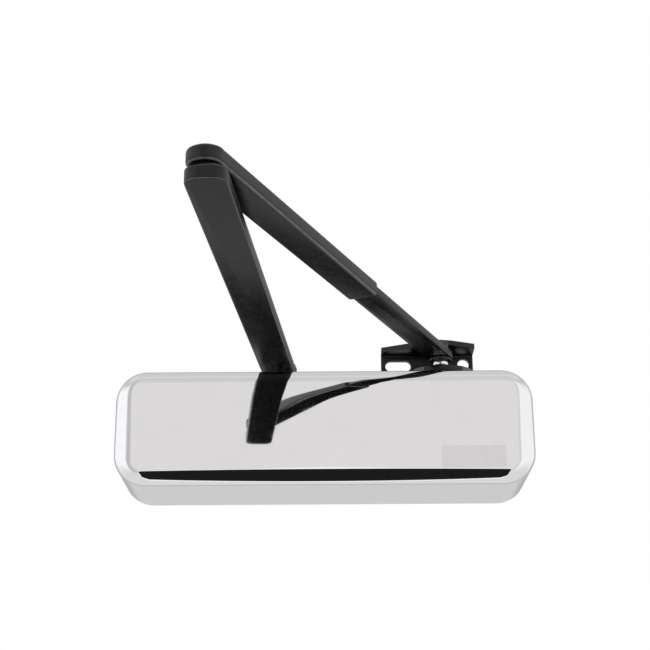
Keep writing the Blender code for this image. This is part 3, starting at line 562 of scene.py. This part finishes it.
def make_sleeve():
    """The forearm's outer channel, with its inside cut out for the bar."""
    bottom, top = level("forearm_sleeve")
    place = along(ELBOW, PIVOT)
    half, length = SLEEVE_HALF, SLEEVE_LENGTH
    head = blunt_end(half, -2 * MM, 6.6 * MM, 2.2)
    outline = [(-x - 4 * MM, y) for x, y in head]
    corner = 2.2 * MM
    outline += arc((length - corner, corner - half), corner, -90, 0, 6)
    outline += arc((length - corner, half - corner), corner, 0, 90, 6)
    sleeve = prism("forearm_sleeve_painted", outline, bottom, top, "black_paint", place)
    soften(sleeve, 1.9 * MM, 6, 40)
    bar_low, bar_high = level("forearm_bar")
    start, wide = SLEEVE_HOLLOW
    beyond = length + 9 * MM
    hollow = [(start, wide), (start, -wide), (beyond, -wide), (beyond, wide)]
    cut(sleeve, prism("hollow", hollow, bar_low - 0.2 * MM, bar_high + 0.2 * MM, None, place))
    lift = Matrix.Translation(on_floor(ELBOW))
    hole = arc((0, 0), ELBOW_HOLE, 0, 350, 35)
    cut(sleeve, prism("pin_hole", hole, bottom - MM, top + MM, None, lift))
    stand_for(sleeve, "forearm_sleeve")


def make_bar():
    """The forearm's inner bar, from inside the sleeve to the bracket's pivot."""
    bottom, top = level("forearm_bar")
    length = (PIVOT - ELBOW).length
    outline = [(BAR_START, BAR_HALF), (BAR_START, -BAR_HALF)]
    outline += arc((length, 0), BAR_HALF, -90, 90, 28)
    bar = prism("forearm_bar_painted", outline, bottom, top, "black_paint", along(ELBOW, PIVOT))
    soften(bar, 0.4 * MM, 2, 40)
    hole = arc((0, 0), BAR_HOLE, 0, 350, 35)
    lift = Matrix.Translation(on_floor(PIVOT))
    cut(bar, prism("pin_hole", hole, bottom - MM, top + MM, None, lift))
    stand_for(bar, "forearm_bar")


def make_elbow_pin():
    """The riveted pin, with its low head on top of the sleeve."""
    low, high = level("elbow_pin")
    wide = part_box("elbow_pin")[1].x - ELBOW.x
    seat = level("forearm_sleeve")[1] + 0.1 * MM
    head = [(0, high), (wide - 2 * MM, high - 0.1 * MM), (wide, high - 0.7 * MM), (wide, seat)]
    head += [(4 * MM, seat), (4 * MM, low), (0, low)]
    pin = turned("elbow_pin_head", rounded_profile(head, 0.4 * MM), "black_steel", on_floor(ELBOW))
    stand_for(pin, "elbow_pin")


def make_rings():
    """The rings and washers round the elbow pin and the arm screw."""
    rings = (
        ("elbow_bearing_ring", 4.2, 7.7, "black_steel", ELBOW),
        ("elbow_washer", 4.2, 6.9, "polished_steel", ELBOW),
        ("arm_washer", 3.1, 9.0, "zinc_steel", SPINDLE),
    )
    for node, inner, outer, slot_name, axis in rings:
        low, high = level(node)
        if node == "elbow_bearing_ring":
            high = level("forearm_sleeve")[0] - 0.05 * MM
        half_way = (outer * MM, (low + high) / 2)
        profile = [half_way, (outer * MM, low), (inner * MM, low), (inner * MM, high)]
        profile += [(outer * MM, high), half_way]
        ring = rounded_profile(profile, 0.25 * MM)[:-1]
        stand_for(turned(node + "_turned", ring, slot_name, on_floor(axis)), node)


def make_pivot_pin():
    """The bracket's pin: a thread above, a rounded shoulder under the bar, a rivet below."""
    low, high = level("shoe_pivot_pin")
    tongue_low = level("shoe_bracket")[0]
    ball_low, ball_high = tongue_low + 2.9 * MM, level("forearm_bar")[0] - 0.1 * MM
    ball_middle = (ball_low + ball_high) / 2
    pin = [(0, high), (2.2 * MM, high), (3 * MM, high - 0.8 * MM), (3 * MM, ball_high)]
    for step in range(9):
        angle = math.radians(50 - 100 * step / 8)
        rise = (ball_high - ball_low) * 0.65 * math.sin(angle)
        pin.append((4.35 * MM * math.cos(angle), ball_middle + rise))
    rivet_top = tongue_low - 0.1 * MM
    pin += [(3 * MM, ball_low), (3 * MM, rivet_top), (3.65 * MM, rivet_top), (3.65 * MM, low + 0.4 * MM)]
    pin += [(3.0 * MM, low), (0, low + 0.15 * MM)]
    pin = turned("shoe_pivot_pin_polished", pin, "polished_steel", on_floor(PIVOT))
    stand_for(pin, "shoe_pivot_pin")


def make_collar_and_nut():
    """The dark collar under the bar and the nut above it."""
    low, high = level("shoe_collar")
    collar = [(6.3 * MM, high), (6.0 * MM, high - 0.9 * MM), (4.9 * MM, low - 0.2 * MM)]
    collar += [(4.5 * MM, low - 0.2 * MM), (4.5 * MM, high - 0.2 * MM), (4.5 * MM, high)]
    stand_for(turned("shoe_collar_turned", collar, "black_steel", on_floor(PIVOT)), "shoe_collar")
    low, high = level("shoe_pivot_nut")
    half_way = (4.8 * MM, (low + high) / 2)
    nut = [half_way, (4.8 * MM, low), (3.1 * MM, low), (3.1 * MM, high), (4.0 * MM, high)]
    nut += [(4.8 * MM, high - 0.8 * MM), half_way]
    nut = rounded_profile(nut, 0.25 * MM)[:-1]
    nut = turned("shoe_pivot_nut_turned", nut, "black_steel", on_floor(PIVOT))
    stand_for(nut, "shoe_pivot_nut")


def socket_screw(node, slot_name, head_radius, shank_radius, head_height, key_radius):
    """A socket-head screw standing upright, with its key socket cut in."""
    low, high = level(node)
    middle = centre_of(node)
    seat = high - head_height
    profile = [(0, high), (head_radius, high), (head_radius, seat)]
    profile += [(shank_radius, seat), (shank_radius, low), (0, low)]
    profile = rounded_profile(profile, 0.45 * MM)
    screw = turned(node + "_turned", profile, slot_name, (middle.x, middle.y, 0))
    key = arc((middle.x, middle.y), key_radius, 0, 300, 5)
    cut(screw, prism("key", key, high - 0.6 * head_height, high + MM))
    stand_for(screw, node)


# ---------------------------------------------------------------- closing spring


def make_spring():
    """The closing spring, finely wound, as a fixed coil; the real spring shortens as the piston moves towards its
    plate.
    """
    low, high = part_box("closing_spring")
    middle = centre_of("closing_spring")
    wire, turns, steps, around = 1.9 * MM, 8, 40, 14
    coil = (high.z - low.z) / 2 - wire
    start, end = low.x + wire, high.x - wire
    pitch = (end - start) / (2 * math.pi * turns)
    form = bmesh.new()
    rings = []
    for step in range(turns * steps + 1):
        angle = 2 * math.pi * step / steps
        out = Vector((0, math.cos(angle), math.sin(angle)))
        ahead = Vector((pitch, -coil * math.sin(angle), coil * math.cos(angle))).normalized()
        across = ahead.cross(out)
        centre = Vector((start + pitch * angle, middle.y, middle.z)) + coil * out
        turn = [2 * math.pi * number / around for number in range(around)]
        spokes = [math.cos(a) * out + math.sin(a) * across for a in turn]
        rings.append([form.verts.new(centre + wire * spoke) for spoke in spokes])
    for first, second in zip(rings, rings[1:]):
        for number in range(around):
            after = (number + 1) % around
            form.faces.new((first[number], first[after], second[after], second[number]))
    form.faces.new(rings[0])
    form.faces.new(list(reversed(rings[-1])))
    bmesh.ops.recalc_face_normals(form, faces=form.faces)
    spring = add_piece("closing_spring_wound", form, SLOT_OF["closing_spring"])
    stand_for(spring, "closing_spring")
    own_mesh(spring)


# ---------------------------------------------------------------- bracket


SHEET = 2.9 * MM
SHEET_BEND = 3.6 * MM
SHEET_JOIN_Z = 0.0495
SHEET_REACH_Y = -45 * MM
TONGUE_RADIUS = 20 * MM
SLOT_LENGTH, SLOT_HEIGHT = 15.1, 6.6
HOLE_RADIUS = 3.4 * MM
FLANGE_EDGE_MM = ((49.6, -17.5), (60.0, -21.8), (67.0, -23.4), (74.0, -21.8))
FLANGE_LEFT_Y, FLANGE_RIGHT_Y = -10.0 * MM, -15.9 * MM


def bent_sheet(name, outer, left, right):
    """An L of sheet between two X positions: up the back, then out at the level `outer`."""
    up = 1 if outer > SHEET_JOIN_Z else -1
    middle = (-SHEET_BEND, outer - up * SHEET_BEND)
    inner = max(SHEET_BEND - SHEET, 0.4 * MM)
    points = [(0.0, SHEET_JOIN_Z)]
    points += arc(middle, SHEET_BEND, 0, 90 * up, 6)
    points.append((SHEET_REACH_Y, outer))
    points.append((SHEET_REACH_Y, outer - up * SHEET))
    points += list(reversed(arc(middle, inner, 0, 90 * up, 6)))
    points.append((-SHEET, SHEET_JOIN_Z))
    sideways = Matrix(((0, 0, 1, 0), (1, 0, 0, 0), (0, 1, 0, 0), (0, 0, 0, 1)))
    return prism(name, points, left, right, "black_paint", sideways)


def across_opening(number):
    """The matrix that puts a flat outline across one of the record's openings in the back plate."""
    low, high = frame["record"]["physics"]["openings"][number]["box_m"]
    middle = ((low[0] + high[0]) / 2, 0, (low[2] + high[2]) / 2)
    return Matrix.Translation(middle) @ Matrix.Rotation(math.pi / 2, 4, "X")


def make_bracket():
    """The frame bracket: flange above, tongue below, and a slot and a round hole in its back."""
    low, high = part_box("shoe_bracket")
    upper = bent_sheet("bracket_painted", high.z, low.x, high.x)
    flange = [(low.x, FLANGE_LEFT_Y)] + [(x * MM, y * MM) for x, y in FLANGE_EDGE_MM]
    flange += [(high.x, FLANGE_RIGHT_Y), (high.x, 1 * MM), (low.x, 1 * MM)]
    cut(upper, prism("flange", flange, 0.04, 0.07), "INTERSECT")
    lower = bent_sheet("bracket_lower", low.z, low.x, high.x)
    centre = (high.x - TONGUE_RADIUS, low.y + TONGUE_RADIUS)
    tongue = arc(centre, TONGUE_RADIUS, 180, 360, 48)
    tongue += [(high.x, 1 * MM), (low.x, 1 * MM), (low.x, -SHEET), (centre[0] - TONGUE_RADIUS, -SHEET)]
    cut(lower, prism("tongue", tongue, 0.03, SHEET_JOIN_Z), "INTERSECT")
    cut(upper, lower, "UNION")
    upper.name = "bracket_painted"
    reach, radius = (SLOT_LENGTH - SLOT_HEIGHT) / 2 * MM, SLOT_HEIGHT / 2 * MM
    stadium = arc((reach, 0), radius, -90, 90, 16) + arc((-reach, 0), radius, 90, 270, 16)
    cut(upper, prism("slot", stadium, -10 * MM, 10 * MM, None, across_opening(0)))
    hole = arc((0, 0), HOLE_RADIUS, 0, 352, 44)
    cut(upper, prism("hole", hole, -10 * MM, 10 * MM, None, across_opening(1)))
    soften(upper, 0.45 * MM, 3, 50)
    place = Matrix.Translation(on_floor(PIVOT))
    cut(upper, prism("pin", arc((0, 0), 3.1 * MM, 0, 350, 35), low.z - MM, low.z + 4 * MM, None, place))
    stand_for(upper, "shoe_bracket", edge_axis=0)


# ---------------------------------------------------------------- stage, light and camera

PALE = 0.80
FLOOR_DROP = 0.27


def make_floor():
    """A pale floor below the closer, out of its mirror images."""
    form = bmesh.new()
    bmesh.ops.create_grid(form, x_segments=1, y_segments=1, size=6)
    floor = add_piece("studio_floor", form, None)
    floor.location.z = CAD_BOX[0].z - FLOOR_DROP
    floor.data.materials.append(
        finish_material("pale_floor", (PALE, PALE, PALE), (0.78, 0.78, 0.78), 0.0, (0.6, 0.8), 60, 0.0001)
    )
    floor.visible_glossy = False


def math_node(tree, operation, first, second):
    node = tree.nodes.new("ShaderNodeMath")
    node.operation = operation
    for socket, value in zip(node.inputs, (first, second)):
        if isinstance(value, (int, float)):
            socket.default_value = value
        else:
            tree.links.new(value, socket)
    return node.outputs[0]


def ramp(tree, value, start, end, low, high):
    """A smooth step from low to high as the value goes from start to end."""
    span = tree.nodes.new("ShaderNodeMapRange")
    span.interpolation_type = "SMOOTHSTEP"
    for name, number in (("From Min", start), ("From Max", end), ("To Min", low), ("To Max", high)):
        span.inputs[name].default_value = number
    tree.links.new(value, span.inputs["Value"])
    return span.outputs["Result"]


def mix_colour(tree, factor, first, second):
    mix = tree.nodes.new("ShaderNodeMix")
    mix.data_type = "RGBA"
    tree.links.new(factor, mix.inputs["Factor"])
    for name, value in (("A", first), ("B", second)):
        if isinstance(value, tuple):
            mix.inputs[name].default_value = (*value, 1)
        else:
            tree.links.new(value, mix.inputs[name])
    return mix.outputs["Result"]


def ceiling_bands(tree, z):
    """The front wall and the ceiling's soft boxes, as tones from the horizon up to the zenith."""
    bands = tree.nodes.new("ShaderNodeValToRGB")
    stops = ((0.0, 0.765), (0.36, 0.765), (0.45, 0.60), (0.56, 0.74), (0.68, 0.56))
    stops += ((0.84, 0.76), (1.0, 0.64))
    while len(bands.color_ramp.elements) < len(stops):
        bands.color_ramp.elements.new(0.5)
    for element, (place, tone) in zip(bands.color_ramp.elements, stops):
        element.position = place
        element.color = (tone, tone * 0.982, tone * 0.988, 1)
    tree.links.new(z, bands.inputs["Fac"])
    return bands.outputs["Color"]


def make_world():
    """A white studio: the camera sees plain white, and the metal sees soft boxes above a dark bench."""
    world = bpy.data.worlds.new("studio")
    world.use_nodes = True
    bpy.context.scene.world = world
    tree = world.node_tree
    tree.nodes.clear()
    way = tree.nodes.new("ShaderNodeTexCoord").outputs["Generated"]
    split = tree.nodes.new("ShaderNodeSeparateXYZ")
    tree.links.new(way, split.inputs[0])
    x, y, z = split.outputs
    light = ceiling_bands(tree, z)
    side = math_node(tree, "ABSOLUTE", x, 0.0)
    under_boxes = ramp(tree, z, 0.72, 0.42, 0, 1)
    # grey gaps to the left and right, then the side boxes beyond them
    for start, shade in ((-0.15, 0.54), (0.15, 0.68)):
        gap = math_node(tree, "MULTIPLY", ramp(tree, x, start, 1.4 * start, 0, 1), under_boxes)
        light = mix_colour(tree, gap, light, (shade, shade, shade))
    for start, tint in ((-0.40, (1.02, 1.02, 1.06)), (0.26, (0.95, 0.95, 0.96))):
        box = math_node(tree, "MULTIPLY", ramp(tree, x, start, 1.5 * start, 0, 1), under_boxes)
        light = mix_colour(tree, box, light, tint)
    # what lies behind the closer, and below it
    light = mix_colour(tree, ramp(tree, y, 0.30, 0.75, 0, 1), light, (0.46, 0.46, 0.47))
    light = mix_colour(tree, ramp(tree, z, 0.0, -0.60, 0, 1), light, (0.74, 0.74, 0.75))
    low = ramp(tree, z, 0.1, -0.1, 0, 1)
    for start, shade in ((0.70, 0.50), (0.86, 0.635)):
        wall_behind = math_node(tree, "MULTIPLY", ramp(tree, y, start, start + 0.06, 0, 1), low)
        light = mix_colour(tree, wall_behind, light, (shade, shade, shade + 0.01))
    # the dark bench with its bright rim: its far edge curves in towards both ends
    spread = math_node(tree, "MULTIPLY", math_node(tree, "MULTIPLY", side, side), 31.0)
    past_end = math_node(tree, "SUBTRACT", y, math_node(tree, "SUBTRACT", 0.13, spread))
    near = math_node(tree, "ADD", z, math_node(tree, "MULTIPLY", spread, 0.25))
    above = ramp(tree, near, 0.17, 0.14, 0, 1)
    rim = math_node(tree, "MULTIPLY", above, ramp(tree, past_end, 0.22, 0.06, 0, 1))
    light = mix_colour(tree, rim, light, (1.02, 1.02, 1.03))
    before_end = ramp(tree, past_end, 0.02, -0.02, 0, 1)
    dark = math_node(tree, "MULTIPLY", ramp(tree, near, 0.13, 0.105, 0, 1), before_end)
    seen = mix_colour(tree, dark, light, (0.012, 0.012, 0.012))
    ray = tree.nodes.new("ShaderNodeLightPath")
    colour = mix_colour(tree, ray.outputs["Is Camera Ray"], seen, (1.0, 1.0, 1.0))
    shine = tree.nodes.new("ShaderNodeBackground")
    tree.links.new(colour, shine.inputs["Color"])
    end = tree.nodes.new("ShaderNodeOutputWorld")
    tree.links.new(shine.outputs[0], end.inputs["Surface"])


def soft_box(name, place, target, size, power):
    """A rectangular lamp aimed at a point, out of the mirror images."""
    lamp = bpy.data.lights.new(name, "AREA")
    lamp.energy = power
    lamp.shape = "RECTANGLE"
    lamp.size, lamp.size_y = size
    lamp.use_shadow = True
    piece = bpy.data.objects.new(name, lamp)
    piece.location = place
    piece.rotation_mode = "QUATERNION"
    piece.rotation_quaternion = (Vector(target) - Vector(place)).to_track_quat("-Z", "Y")
    piece.visible_glossy = False
    bpy.context.scene.collection.objects.link(piece)


CAMERA_PLACE = (0.0018, -0.8028, -0.2174)
CAMERA_HEADING, CAMERA_RISE, CAMERA_ROLL = 0.09, 20.29, -0.34
CAMERA_LENS, CAMERA_SHIFT_Y = 79.22, -0.0054


def make_camera():
    """The fitted camera, which looks up at the closer from below and in front."""
    camera = bpy.data.cameras.new("camera")
    camera.sensor_width = 36
    camera.lens = CAMERA_LENS
    camera.shift_y = CAMERA_SHIFT_Y
    camera.clip_start = 0.01
    piece = bpy.data.objects.new("camera", camera)
    bpy.context.scene.collection.objects.link(piece)
    heading = Matrix.Rotation(math.radians(CAMERA_HEADING), 4, "Z")
    pitch = Matrix.Rotation(math.radians(90 + CAMERA_RISE), 4, "X")
    roll = Matrix.Rotation(math.radians(CAMERA_ROLL), 4, "Z")
    piece.matrix_world = Matrix.Translation(CAMERA_PLACE) @ heading @ pitch @ roll
    bpy.context.scene.camera = piece


def main():
    paint_cad_nodes()
    make_cover()
    make_main_arm()
    make_sleeve()
    make_bar()
    make_elbow_pin()
    make_rings()
    make_pivot_pin()
    make_collar_and_nut()
    socket_screw("arm_screw", "zinc_steel", 5 * MM, 2.5 * MM, 4 * MM, 2.6 * MM)
    socket_screw("length_lock_screw", "zinc_steel", 4 * MM, 2 * MM, 3 * MM, 2 * MM)
    make_spring()
    make_bracket()
    make_floor()
    make_world()
    soft_box("key_light", (-0.9, -0.9, 1.1), (0, -0.1, 0), (0.9, 0.9), 9)
    soft_box("fill_light", (1.1, -0.7, 0.7), (0, -0.1, 0), (0.8, 0.8), 5)
    make_camera()
    bpy.context.scene.view_settings.view_transform = "Standard"


main()
